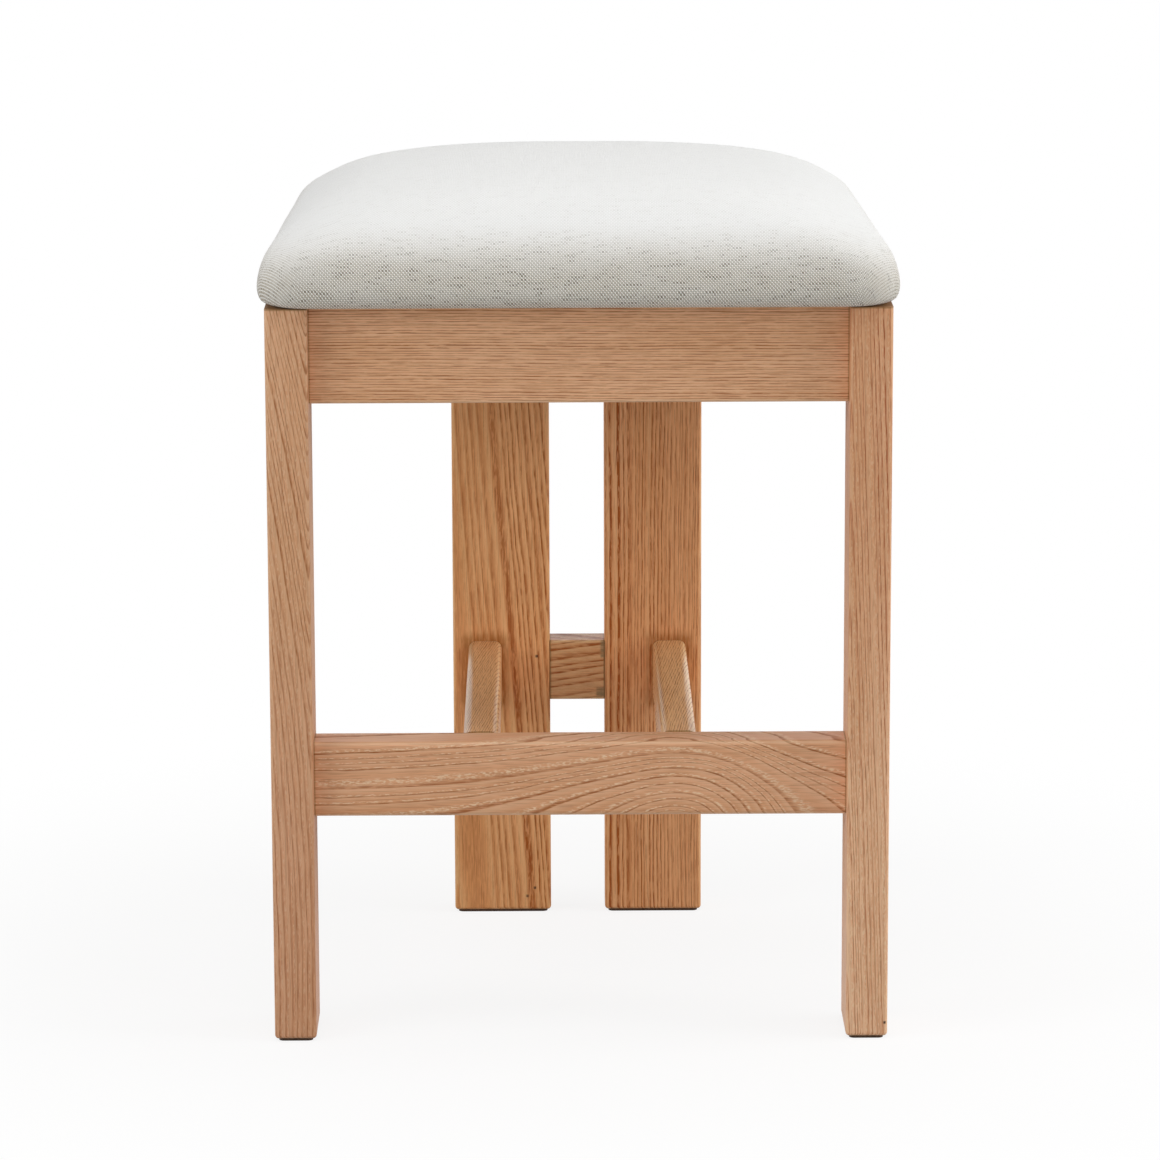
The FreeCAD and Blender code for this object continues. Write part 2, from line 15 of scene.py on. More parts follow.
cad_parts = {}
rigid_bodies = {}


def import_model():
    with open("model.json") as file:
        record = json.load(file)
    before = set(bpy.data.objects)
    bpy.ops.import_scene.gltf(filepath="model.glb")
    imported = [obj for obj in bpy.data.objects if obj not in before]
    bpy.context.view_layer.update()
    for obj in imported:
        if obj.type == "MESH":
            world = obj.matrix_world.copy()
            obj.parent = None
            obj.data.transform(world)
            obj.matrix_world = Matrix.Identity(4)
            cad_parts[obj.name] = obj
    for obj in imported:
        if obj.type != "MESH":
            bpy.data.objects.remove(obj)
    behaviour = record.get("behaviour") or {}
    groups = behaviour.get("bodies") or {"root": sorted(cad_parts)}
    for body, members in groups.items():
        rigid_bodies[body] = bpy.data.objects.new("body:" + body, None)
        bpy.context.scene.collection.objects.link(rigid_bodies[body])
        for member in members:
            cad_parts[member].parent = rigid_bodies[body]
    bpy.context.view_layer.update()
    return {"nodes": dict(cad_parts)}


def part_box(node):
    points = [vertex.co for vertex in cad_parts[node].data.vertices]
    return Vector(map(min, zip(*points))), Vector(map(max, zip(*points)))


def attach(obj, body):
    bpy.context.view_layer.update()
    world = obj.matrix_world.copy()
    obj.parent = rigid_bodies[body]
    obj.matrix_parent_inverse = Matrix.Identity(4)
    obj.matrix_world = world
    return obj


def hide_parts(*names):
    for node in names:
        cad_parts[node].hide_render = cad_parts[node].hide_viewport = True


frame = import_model()
nodes = frame["nodes"]

# %% [markdown]
# ## The camera
# The stool was photographed from a few metres away with a long lens, from above the height of the seat.
# The place and the turn come from fitting the corners of the legs, apron and stretcher to their places in
# the picture. A shifted lens would keep the legs exactly upright, but every other view would carry the
# same shift and push the stool out of the frame, so the camera simply looks down a little.

# %% Place the camera
CAMERA_PLACE = Vector((-0.0243, -4.154, 1.194))
CAMERA_PITCH = math.radians(11.895)
CAMERA_YAW = math.radians(0.355)
CAMERA_ROLL = math.radians(0.188)
PICTURE_SIDE = 1160
FOCAL_PIXELS = 5361
SENSOR_WIDTH = 36

turn = Matrix.Rotation(-CAMERA_YAW, 4, "Z")
turn = turn @ Matrix.Rotation(math.pi / 2 - CAMERA_PITCH, 4, "X")
turn = turn @ Matrix.Rotation(-CAMERA_ROLL, 4, "Z")
bpy.ops.object.camera_add(location=CAMERA_PLACE, rotation=turn.to_euler())
camera = bpy.context.object
camera.name = "camera"
camera.data.sensor_width = SENSOR_WIDTH
camera.data.lens = FOCAL_PIXELS / PICTURE_SIDE * SENSOR_WIDTH
bpy.context.scene.camera = camera
print("camera lens", round(camera.data.lens, 1), "mm")

# %% [markdown]
# ## Sums on sockets
# A finish is a sum of simple patterns, and a sum reads best as a sum. This class wraps one output of a
# shader node, so that `1 - mask * 0.5` adds the Math nodes for us. Every other node comes from its
# `node` method, which takes the node's type, then its settings, then its sockets.

# %% The socket class
class Value:
    """One output of a shader node, which can stand in a sum."""

    def __init__(self, tree, output):
        self.tree = tree
        self.output = output

    def node(self, kind, settings=None, sockets=None, take=0):
        """Adds a node: its settings first, then the values or links of its sockets."""
        made = self.tree.nodes.new(kind)
        for name, setting in (settings or {}).items():
            setattr(made, name, setting)
        for name, given in (sockets or {}).items():
            if isinstance(given, Value):
                self.tree.links.new(given.output, made.inputs[name])
            else:
                made.inputs[name].default_value = given
        return Value(self.tree, made.outputs[take]) if made.outputs else None

    def out(self, name):
        """Another output of the same node."""
        return Value(self.tree, self.output.node.outputs[name])

    def math(self, operation, second=0.0):
        """A Math node on this value and, where the operation needs one, a second."""
        return self.node("ShaderNodeMath", {"operation": operation}, {0: self, 1: second})

    def feed(self, shader, socket):
        """Links this value to a socket of the surface shader."""
        self.tree.links.new(self.output, shader.inputs[socket])

    def __add__(self, other):
        return self.math("ADD", other)

    def __sub__(self, other):
        return self.math("SUBTRACT", other)

    def __rsub__(self, other):
        return self.node("ShaderNodeMath", {"operation": "SUBTRACT"}, {0: other, 1: self})

    def __mul__(self, other):
        return self.math("MULTIPLY", other)

    def __truediv__(self, other):
        return self.math("DIVIDE", other)

    def __pow__(self, other):
        return self.math("POWER", other)

    __radd__ = __add__
    __rmul__ = __mul__


print("socket class ready")

# %% [markdown]
# ## Patterns and paint
# Most of the finishes come from a few patterns: a soft step from 0 to 1, a mix of two colours, cloudy noise
# and speckles, which are noise cut off by a soft step. Stretched along a bar, noise becomes fibre. Pictures
# of wood and cloth would be quicker, but a pattern that is worked out stays sharp and needs no file.

# %% Helpers for patterns
# A Mix node has its own sockets for each kind of data. These are the ones for colours.
MIX_FACTOR = 0
MIX_FIRST = 6
MIX_SECOND = 7
MIX_RESULT = 2


def soft_step(value, start, end):
    """0 before start, 1 after end, and a soft slope between them."""
    sockets = {"Value": value, "From Min": start, "From Max": end}
    return value.node("ShaderNodeMapRange", {"interpolation_type": "SMOOTHSTEP"}, sockets)


def mix(factor, first, second):
    """One colour over another."""
    sockets = {MIX_FACTOR: factor, MIX_FIRST: first, MIX_SECOND: second}
    return factor.node("ShaderNodeMix", {"data_type": "RGBA"}, sockets, take=MIX_RESULT)


def tinted(colour, tint):
    """One colour multiplied by another."""
    settings = {"data_type": "RGBA", "blend_type": "MULTIPLY"}
    sockets = {MIX_FACTOR: 1.0, MIX_FIRST: colour, MIX_SECOND: tint}
    return colour.node("ShaderNodeMix", settings, sockets, take=MIX_RESULT)


def noise(place, scale, detail, take="Fac"):
    """Cloudy noise from 0 to 1, with one scale for each direction, in cycles per metre."""
    stretched = place.node("ShaderNodeVectorMath", {"operation": "MULTIPLY"}, {0: place, 1: scale})
    return place.node("ShaderNodeTexNoise", {}, {"Vector": stretched, "Scale": 1.0, "Detail": detail}, take)


def speckle(place, scale, detail, start, end):
    """Noise that is 0 below start and 1 above end."""
    return soft_step(noise(place, scale, detail), start, end)


def bumped(height, shader, strength, distance):
    """Lets a height show as relief."""
    sockets = {"Strength": strength, "Distance": distance, "Height": height}
    height.node("ShaderNodeBump", {}, sockets).feed(shader, "Normal")


def paint(red, green, blue):
    """A screen colour, 0 to 255, as the linear colour that a shader wants."""
    screen = [level / 255 for level in (red, green, blue)]
    return tuple(c / 12.92 if c <= 0.04045 else ((c + 0.055) / 1.055) ** 2.4 for c in screen) + (1.0,)


def shade(colour, factor):
    """A linear colour made lighter or darker."""
    return tuple(level * factor for level in colour[:3]) + (1.0,)


def new_finish(name, **constants):
    """A material with one surface shader, and the object's own coordinates to draw patterns on."""
    finish = bpy.data.materials.new(name)
    finish.use_nodes = True
    shader = finish.node_tree.nodes["Principled BSDF"]
    for socket, constant in constants.items():
        shader.inputs[socket.replace("_", " ")].default_value = constant
    place = Value(finish.node_tree, finish.node_tree.nodes.new("ShaderNodeTexCoord").outputs["Object"])
    return finish, shader, place


def wear(finish, pieces):
    """Puts a finish on every material slot of some pieces of the frame."""
    for piece in pieces:
        for slot in nodes[piece].material_slots:
            slot.material = finish


print("shader helpers ready")

# %% [markdown]
# ## The sky
# The picture has a plain white ground. A stronger lamp could bleach it, but would bleach the seat too. So
# the sky is white to the camera and to reflections, and dimmer to the stool itself, whose shapes keep
# their shade.

# %% Build the white sky
SKY_LIGHT = 0.29
WHITE = (1.0, 1.0, 1.0, 1.0)


def seen_directly(tree):
    """1 for rays from the camera, a reflection or a clear piece, and 0 for light that only bounces."""
    rays = Value(tree, tree.nodes.new("ShaderNodeLightPath").outputs["Is Camera Ray"])
    seen = rays.math("MAXIMUM", rays.out("Is Glossy Ray"))
    return seen.math("MAXIMUM", rays.out("Is Transmission Ray"))


world = bpy.data.worlds.new("white_sky")
bpy.context.scene.world = world
world.use_nodes = True
world.node_tree.nodes.clear()
seen = seen_directly(world.node_tree)
strength = seen * (1 - SKY_LIGHT) + SKY_LIGHT
sky = seen.node("ShaderNodeBackground", {}, {"Color": WHITE, "Strength": strength})
seen.node("ShaderNodeOutputWorld", {}, {"Surface": sky})
print("sky lights the stool at", SKY_LIGHT)

# %% [markdown]
# ## The floor
# The floor is a real pale surface near the feet, where it takes the stool's shadow, and turns into the
# white of the sky further out. Light that bounces off it comes back dimmer than it looks, or the undersides
# of the bars would be too bright.

# %% Lay the floor
FLOOR_SIDE = 9.0
FLOOR_SHADE_REACH = (0.32, 0.85)
FLOOR_WHITENESS = 0.85
FLOOR_BOUNCE = (0.55, 0.55, 0.55, 1.0)
FLOOR_PAINT = (0.96, 0.96, 0.96, 1.0)

bpy.ops.object.select_all(action="DESELECT")
bpy.ops.mesh.primitive_plane_add(size=FLOOR_SIDE)
floor = bpy.context.object
floor.name = "floor"

floor_finish = bpy.data.materials.new("floor_paint")
floor_finish.use_nodes = True
floor_finish.node_tree.nodes.clear()
seen = seen_directly(floor_finish.node_tree)
place = seen.node("ShaderNodeTexCoord", take="Object")
reach = place.node("ShaderNodeVectorMath", {"operation": "LENGTH"}, {0: place}, take="Value")
away = (soft_step(reach, *FLOOR_SHADE_REACH) * (1 - FLOOR_WHITENESS) + FLOOR_WHITENESS) * seen
surface = seen.node("ShaderNodeBsdfDiffuse", {}, {"Color": mix(seen, FLOOR_BOUNCE, FLOOR_PAINT)})
glow = seen.node("ShaderNodeEmission", {}, {"Color": WHITE, "Strength": 1.0})
ground = seen.node("ShaderNodeMixShader", {}, {0: away, 1: surface, 2: glow})
seen.node("ShaderNodeOutputMaterial", {}, {"Surface": ground})
floor.data.materials.append(floor_finish)
print("floor", FLOOR_SIDE, "m wide")

# %% [markdown]
# ## The lamps
# Large soft lamps give the soft, almost shadowless light of a shop's picture. The one on the right is the
# strongest and the one in front the weakest, which leaves the front of the seat a little darker than its
# top.

# %% Hang the lamps
SEAT_MIDDLE = Vector((0.0, 0.0, 0.5))


def softbox(name, place, side, power):
    """A square lamp with a white cloth front, turned to the seat."""
    heading = (SEAT_MIDDLE - Vector(place)).to_track_quat("-Z", "Y")
    bpy.ops.object.light_add(type="AREA", location=place, rotation=heading.to_euler())
    lamp = bpy.context.object
    lamp.name = name
    lamp.data.shape = "SQUARE"
    lamp.data.size = side
    lamp.data.energy = power
    lamp.visible_camera = False


softbox("top_softbox", place=(0.0, -0.3, 2.7), side=2.2, power=26)
softbox("left_softbox", place=(-2.2, -1.2, 1.2), side=1.6, power=20)
softbox("right_softbox", place=(2.4, -0.3, 1.2), side=1.6, power=35)
softbox("front_softbox", place=(0.0, -3.0, 1.9), side=1.6, power=8)
bpy.context.scene.view_settings.view_transform = "Standard"
print("four softboxes hung")

# %% [markdown]
# ## Ash wood
# The bars are ash, a wood with plain growth rings: each year starts with a porous brown line and ends in
# smooth pale wood. A picture of grain wrapped on each face would not meet at the corners, so the wood is
# solid: rings round a pith line that runs somewhere outside the bar. Where the bar's face cuts the rings
# square on, they show as fine straight lines, and where it cuts them at a slant they show as arches. Each
# bar names its own pith, so no two bars repeat.

# %% The colours of ash
ASH_PALE = paint(236, 184, 142)
ASH_WARM = paint(224, 169, 124)
ASH_LINE = paint(164, 101, 50)
ASH_DEEP_LINE = paint(162, 90, 32)
ASH_RED_LINE = paint(176, 98, 56)
ASH_PORE = paint(154, 88, 46)
ASH_FILLED_PORE = paint(246, 222, 184)
ASH_GLUE = paint(128, 98, 46)
print("ash colours chosen")

# %% [markdown]
# ## The rings of one bar
# The distance from the pith, divided by one year's growth, counts the years. Real rings are not perfect
# cylinders: they lean and bend along the trunk, drift and shiver a little, and a cut through the widening
# foot of a tree gives the cathedral arch on the stretcher. All of these are added to the distance before
# the years are counted.

# %% Directions and rings
DRIFT_GRAIN = (3.0, 14.0, 14.0)
DRIFT_DETAIL = 1.0
DRIFT_SIZE = 4.0
SHIVER_GRAIN = (26.0, 90.0, 90.0)
SHIVER_DETAIL = 2.0
GOOD_YEARS_SPAN = 3.5


def directions(node, axes, place):
    """Where a point lies along, across and through a bar, from its middle, and the bar's half sizes."""
    low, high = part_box(node)
    middle = tuple((a + b) / 2 for a, b in zip(low, high))
    local = place.node("ShaderNodeVectorMath", {"operation": "SUBTRACT"}, {0: place, 1: middle})
    parts = local.node("ShaderNodeSeparateXYZ", {}, {0: local})
    halves = [(high["XYZ".index(axis)] - low["XYZ".index(axis)]) / 2 for axis in axes]
    return [parts.out(axis) for axis in axes], halves


def years(grain, along, across, through, pith, ring, seed, lean, bend, arch, wander, uneven):
    """How many rings lie between a point and the pith."""
    drift = (noise(grain, DRIFT_GRAIN, DRIFT_DETAIL) - 0.5) * (wander * DRIFT_SIZE)
    shiver = (noise(grain, SHIVER_GRAIN, SHIVER_DETAIL) - 0.5) * wander
    side = across - pith[0] + along * lean + along * along * bend + drift + shiver
    deep = through - pith[1]
    squared = side * side + deep * deep
    if arch:
        crest, reach, fall_left, fall_right = arch
        offset = along - crest
        fall = soft_step(offset, -reach, reach) * (fall_right - fall_left) + fall_left
        rise = (offset / reach).math("TANH") * fall
        squared = squared + rise * rise
    radius = squared ** 0.5
    good_years = radius.node("ShaderNodeTexNoise", {"noise_dimensions": "1D"},
                             {"W": radius / (ring * GOOD_YEARS_SPAN) + seed, "Scale": 1.0, "Detail": 1.0})
    return radius / ring + good_years * uneven


print("ring helpers ready")

# %% [markdown]
# ## Lines and marks
# Within one year the brown line comes first and fades into the pale wood, and no two years are equally
# dark. Later come small marks on single faces. Each is a soft-edged patch, so one mask serves them all.

# %% One year's line, and a mark on a face
LINE_START = 0.2
FAINTEST_LINE = 0.4


def brown_line(age, seed, early):
    """The porous line of each year: early is its share of the year, and some years are fainter."""
    part = age.math("FRACT")
    year = age.math("FLOOR")
    mood = year.node("ShaderNodeTexWhiteNoise", {"noise_dimensions": "1D"}, {"W": year + seed}, take="Value")
    line = soft_step(part, early, early * LINE_START) * soft_step(part, 0.0, early * LINE_START)
    return line * (mood * (1 - FAINTEST_LINE) + FAINTEST_LINE)


def spot_mask(place, x, y, z, half_x, half_z, rim):
    """1 on a small upright rectangle of a face, fading to 0 over its soft rim."""
    parts = place.node("ShaderNodeSeparateXYZ", {}, {0: place})
    out_x = ((parts.out("X") - x).math("ABSOLUTE") - half_x).math("MAXIMUM", 0.0)
    out_z = ((parts.out("Z") - z).math("ABSOLUTE") - half_z).math("MAXIMUM", 0.0)
    out_y = parts.out("Y") - y
    away = (out_x * out_x + out_y * out_y + out_z * out_z) ** 0.5
    return soft_step(away, rim, 0.0)


print("line and mark helpers ready")

# %% [markdown]
# ## From rings to wood
# The brown line is broken up by its pores. A few pores were filled with a pale paste when the stool was
# sanded. The arrises are a little paler, partly from wear and partly as a painted highlight where the satin
# coat catches the light, and a trace of glue darkens the ends of a bar where it meets its neighbour. All of
# this could be painted on, but then it would not follow the rings.

# %% The wood of one bar
FLECKS = ((110.0, 700.0, 700.0), 2.0, 0.36, 0.6)
DASHES = ((60.0, 1500.0, 1500.0), 0.0, 0.56, 0.66)
PORES = ((300.0, 1300.0, 1300.0), 1.0, 0.46, 0.62)
CLOUDS = ((5.0, 30.0, 30.0), 3.0, 0.3, 0.7)
FIBRE_GRAIN = (24.0, 1000.0, 1000.0)
FIBRE_DETAIL = 2.0
FIBRE_EDGE = (0.45, 0.75)
FIBRE_DEPTH = 0.35
LINE_IN_FLECKS = 0.8
LINE_BETWEEN_FLECKS = 0.25
PORES_IN_LINE = 0.5
PORES_ELSEWHERE = 0.2
FILLED_START = (0.5, 1.0)
FILLED_END = (1.9, 1.2)
LATE_WOOD = (0.45, 1.0)
LATE_WOOD_PALENESS = 0.28
ARRIS_WIDTH = 0.003
SEAM_WIDTH = 0.0014
RIM_SHARE = 0.3
GLUE_STRENGTH = 0.6
MARK_PATCHINESS = 0.4
TONE_TURN = (-0.6, 0.4)
PLAIN_TONE = (1.0, 1.0, 1.0)
WOOD_SHINE = 0.25
LINE_DULLNESS = 0.15
FLECK_DULLNESS = 0.05
FIBRE_RELIEF = 0.3
LINE_RELIEF = 0.4
GRAIN_BUMP_STRENGTH = 0.25
GRAIN_BUMP_DEPTH = 0.0003
GRAIN_STARTS = 97


def ash(node, axes, pith, ring, lean=0.0, bend=0.0, arch=None, wander=0.002, uneven=2.2, early=0.45,
        contrast=0.75, calm=0.0, limed=0.15, arris=0.3, satin=0.42, line_colour=ASH_LINE, tone=PLAIN_TONE,
        far_tone=None, marks=()):
    """Ash for one bar, with all lengths in metres.

    axes are the bar's directions along the grain, across it and through it. pith is how far away the pith
    runs, across and through, and ring is one year's growth. lean, bend and arch tilt, curve and lift the
    rings along the bar, wander shakes them, and uneven makes good and bad years. early is the brown line's
    share of a year, contrast its strength and line_colour its colour. calm fades the line towards one side,
    which its sign tells. limed is how pale the filled pores are, arris how much paler the edges are painted,
    partly as wear and partly as a painted highlight, and satin the roughness. tone tints the bar and
    far_tone its far end, and marks are spots on its front.
    """
    finish, shader, place = new_finish("ash_" + node, Specular_IOR_Level=WOOD_SHINE)
    (along, across, through), halves = directions(node, axes, place)
    seed = float(sum(map(ord, node)) % GRAIN_STARTS)
    grain = along.node("ShaderNodeCombineXYZ", {}, {0: along + seed, 1: across, 2: through})
    age = years(grain, along, across, through, pith, ring, seed, lean, bend, arch, wander, uneven)
    part = age.math("FRACT")
    quiet = soft_step(across * math.copysign(1.0, calm), -halves[1], halves[1])
    line = brown_line(age, seed, early) * (1 - quiet * abs(calm))

    flecks = speckle(grain, *FLECKS)
    fibre = noise(grain, FIBRE_GRAIN, FIBRE_DETAIL)
    brown = line * (flecks * LINE_IN_FLECKS + LINE_BETWEEN_FLECKS) * contrast
    open_pore = speckle(grain, *DASHES) * (line * PORES_IN_LINE + PORES_ELSEWHERE) * contrast
    filled_pore = soft_step(part, *(early * bound for bound in FILLED_START))
    filled_pore = filled_pore * soft_step(part, *(early * bound for bound in FILLED_END))
    filled_pore = filled_pore * speckle(grain, *PORES)
    colour = mix(speckle(grain, *CLOUDS), ASH_PALE, ASH_WARM)
    colour = mix(soft_step(part, *LATE_WOOD) * LATE_WOOD_PALENESS, colour, ASH_FILLED_PORE)
    colour = mix(soft_step(fibre, *FIBRE_EDGE) * FIBRE_DEPTH, colour, line_colour)
    colour = mix(brown, colour, line_colour)
    colour = mix(open_pore, colour, ASH_PORE)
    colour = mix(filled_pore * limed, colour, ASH_FILLED_PORE)

    # The edges are painted paler: partly wear, and partly a painted highlight where the satin coat catches
    # the light.
    from_side = halves[1] - across.math("ABSOLUTE")
    from_face = halves[2] - through.math("ABSOLUTE")
    worn_and_highlit_edge = soft_step(from_side.math("MAXIMUM", from_face), ARRIS_WIDTH, ARRIS_WIDTH * RIM_SHARE)
    colour = mix(worn_and_highlit_edge * arris, colour, ASH_FILLED_PORE)
    seam = soft_step(along.math("ABSOLUTE"), halves[0] - SEAM_WIDTH, halves[0] - SEAM_WIDTH * RIM_SHARE)
    colour = mix(seam * GLUE_STRENGTH, colour, ASH_GLUE)
    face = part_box(node)[0][1]
    for x, z, half_x, half_z, rim, strength, mark_colour in marks:
        mark = spot_mask(place, x, face, z, half_x, half_z, rim)
        mark = mark * (flecks * MARK_PATCHINESS + (1 - MARK_PATCHINESS))
        colour = mix(mark * strength, colour, mark_colour)
    further = soft_step(along, *(turn_at * halves[0] for turn_at in TONE_TURN))
    tint = mix(further, tone + (1.0,), (far_tone or tone) + (1.0,))
    tinted(colour, tint).feed(shader, "Base Color")

    (brown * LINE_DULLNESS + (1 - flecks) * FLECK_DULLNESS + satin).feed(shader, "Roughness")
    height = fibre * FIBRE_RELIEF - brown * flecks * LINE_RELIEF - open_pore
    bumped(height, shader, GRAIN_BUMP_STRENGTH, GRAIN_BUMP_DEPTH)
    wear(finish, [node])


print("ash ready")

# %% [markdown]
# ## Small marks
# Real boards have little accidents, and without them the bars look too clean. There are pin knots and two
# dabs of filler on the back rail. Round the ends of the side rails the back legs also get a painted shadow,
# the shade that the rails cast on them.

# %% Knots, painted joint shadow and filler
PIN_KNOT = paint(40, 24, 14)
PIN_KNOT_HALF = 0.0005
PIN_KNOT_RIM = 0.0012
# A dark ochre painted round each side rail's end on the back leg: a painted shadow of the rail, not a stain.
JOINT_SHADOW = paint(150, 92, 30)
JOINT_SHADOW_RIM = 0.011
JOINT_SHADOW_STRENGTH = 0.7
WOOD_FILLER = paint(140, 120, 88)
WOOD_FILLER_RIM = 0.0025
WOOD_FILLER_STRENGTH = 0.85


def pin_knot(x, z):
    """A dark dot, at one place of a bar's front."""
    return (x, z, PIN_KNOT_HALF, PIN_KNOT_HALF, PIN_KNOT_RIM, 1.0, PIN_KNOT)


def painted_joint_shadow(rail):
    """A painted shadow round the end of a side rail, on the leg that it meets."""
    low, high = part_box(rail)
    x, z = (low[0] + high[0]) / 2, (low[2] + high[2]) / 2
    half_x, half_z = (high[0] - low[0]) / 2, (high[2] - low[2]) / 2
    return (x, z, half_x, half_z, JOINT_SHADOW_RIM, JOINT_SHADOW_STRENGTH, JOINT_SHADOW)


def filler_dab(x, z, half_x, half_z):
    """A grey patch of wood filler."""
    return (x, z, half_x, half_z, WOOD_FILLER_RIM, WOOD_FILLER_STRENGTH, WOOD_FILLER)


print("marks ready")

# %% [markdown]
# ## Twelve cuts
# The front bars are fine and straight, the stretcher has its arch, and the back legs are coarser and
# browner. A tone is a tint for the whole bar, because the boards came from different trees. The two front
# legs change their tone from foot to top.

# %% Choose each bar's cut
LEFT_FOOT_TONE = (0.90, 0.81, 0.80)
LEFT_TOP_TONE = (0.95, 0.91, 0.90)
RIGHT_FOOT_TONE = (1.12, 1.16, 1.21)
RIGHT_TOP_TONE = (0.97, 0.89, 0.85)
BACK_LEFT_TONE = (1.13, 1.01, 0.78)
BACK_RIGHT_TONE = (1.10, 0.96, 0.78)
BACK_RAIL_TONE = (0.91, 0.87, 0.74)
APRON_TONE = (1.05, 1.03, 1.04)
STRETCHER_TONE = (1.01, 0.95, 0.95)
LEFT_RAIL_TONE = (1.06, 1.08, 0.95)
RIGHT_RAIL_TONE = (1.12, 1.19, 1.06)

ash("front_leg_left", "ZXY", pith=(-0.09, 0.10), ring=0.0022, lean=0.11, bend=0.22, contrast=0.95,
    limed=0.4, arris=0.1, tone=LEFT_FOOT_TONE, far_tone=LEFT_TOP_TONE)
ash("front_leg_right", "ZXY", pith=(0.10, 0.09), ring=0.0021, lean=0.04, contrast=1.2, limed=0.4, arris=0.1,
    line_colour=ASH_RED_LINE, tone=RIGHT_FOOT_TONE, far_tone=RIGHT_TOP_TONE, marks=[pin_knot(0.233, 0.013)])
# Each back leg carries a painted shadow round the end of its side rail.
ash("back_leg_left", "ZXY", pith=(-0.043, 0.027), ring=0.0044, lean=0.075, wander=0.0025, early=0.65,
    contrast=1.2, calm=-0.6, arris=0.1, line_colour=ASH_DEEP_LINE, tone=BACK_LEFT_TONE,
    marks=[painted_joint_shadow("side_rail_left"), pin_knot(-0.0335, 0.219), pin_knot(-0.036, 0.021),
           pin_knot(-0.042, 0.014)])
ash("back_leg_right", "ZXY", pith=(-0.056, 0.030), ring=0.0026, wander=0.0022, early=0.6, contrast=1.6,
    calm=0.5, arris=0.1, line_colour=ASH_DEEP_LINE, tone=BACK_RIGHT_TONE,
    marks=[painted_joint_shadow("side_rail_right")])
ash("front_apron", "XZY", pith=(-0.32, 0.09), ring=0.0021, lean=0.006, wander=0.0012, uneven=1.2,
    contrast=1.2, tone=APRON_TONE)
ash("back_apron", "XZY", pith=(0.28, 0.10), ring=0.0030, contrast=0.9, line_colour=ASH_DEEP_LINE,
    tone=BACK_LEFT_TONE)
ash("side_apron_left", "YZX", pith=(-0.30, 0.08), ring=0.0030, contrast=0.9)
ash("side_apron_right", "YZX", pith=(-0.26, 0.12), ring=0.0032, contrast=0.9)
ash("front_stretcher", "XZY", pith=(-0.041, -0.012), ring=0.0052, arch=(0.072, 0.097, 0.049, 0.078),
    wander=0.0020, early=0.26, contrast=1.1, limed=0.8, arris=0.4, tone=STRETCHER_TONE)
ash("side_rail_left", "YXZ", pith=(0.16, 0.05), ring=0.0018, lean=-0.12, uneven=1.0, contrast=1.3,
    arris=0.6, satin=0.28, line_colour=ASH_DEEP_LINE, tone=LEFT_RAIL_TONE)
ash("side_rail_right", "YXZ", pith=(-0.16, 0.05), ring=0.0020, lean=-0.12, uneven=1.0, contrast=1.4,
    arris=0.6, satin=0.28, line_colour=ASH_DEEP_LINE, tone=RIGHT_RAIL_TONE)
ash("back_rail", "XZY", pith=(-0.12, 0.05), ring=0.0052, lean=-0.14, wander=0.0025, early=0.6, contrast=1.1,
    satin=0.25, line_colour=ASH_DEEP_LINE, tone=BACK_RAIL_TONE,
    marks=[filler_dab(0.0212, 0.2246, 0.0006, 0.006), filler_dab(0.0192, 0.1880, 0.0022, 0.003)])
print("twelve ash bars finished")

# %% [markdown]
# ## What holds the frame together
# Corner blocks and dowels are plain pale wood that is never polished, the screws are zinced steel, the
# feet stand on dark felt, and a black cloth closes the seat from below. Most of this is seen only from
# below or not at all, so each finish is one noise and two colours.

# %% Plain wood, steel, felt and cloth
PLAIN_GRAIN_ALONG = 12.0
PLAIN_GRAIN_ACROSS = 260.0
PLAIN_GRAIN_EDGE = (0.35, 0.7)
PLAIN_ROUGHNESS = 0.6
PLAIN_ROUGHNESS_CHANGE = 0.2
ZINC_CLOUDS = (400.0, 400.0, 400.0)
ZINC_EDGE = (0.3, 0.7)
ZINC_SHADE = 0.8
ZINC_ROUGHNESS = 0.25
ZINC_ROUGHNESS_CHANGE = 0.25
CLOTH_SHINE = 0.15
CLOTH_EDGE = (0.3, 0.75)
CLOTH_LIGHT = 1.9
CLOTH_ROUGHNESS = 0.85
CLOTH_ROUGHNESS_CHANGE = 0.1
CLOTH_BUMP_STRENGTH = 0.5
CLOTH_BUMP_DEPTH = 0.0003


def plain_wood(name, pale, dark, along, pieces):
    """Unpolished wood, with its grain along X, Y or Z."""
    finish, shader, place = new_finish(name, Specular_IOR_Level=WOOD_SHINE)
    stretch = tuple(PLAIN_GRAIN_ALONG if axis == along else PLAIN_GRAIN_ACROSS for axis in "XYZ")
    lines = noise(place, stretch, detail=3.0)
    mix(soft_step(lines, *PLAIN_GRAIN_EDGE), pale, dark).feed(shader, "Base Color")
    (lines * PLAIN_ROUGHNESS_CHANGE + PLAIN_ROUGHNESS).feed(shader, "Roughness")
    wear(finish, pieces)


def steel(name, colour, pieces):
    """Bright zinc with faint clouding."""
    finish, shader, place = new_finish(name, Metallic=1.0)
    clouds = noise(place, ZINC_CLOUDS, detail=2.0)
    mix(soft_step(clouds, *ZINC_EDGE), colour, shade(colour, ZINC_SHADE)).feed(shader, "Base Color")
    (clouds * ZINC_ROUGHNESS_CHANGE + ZINC_ROUGHNESS).feed(shader, "Roughness")
    wear(finish, pieces)


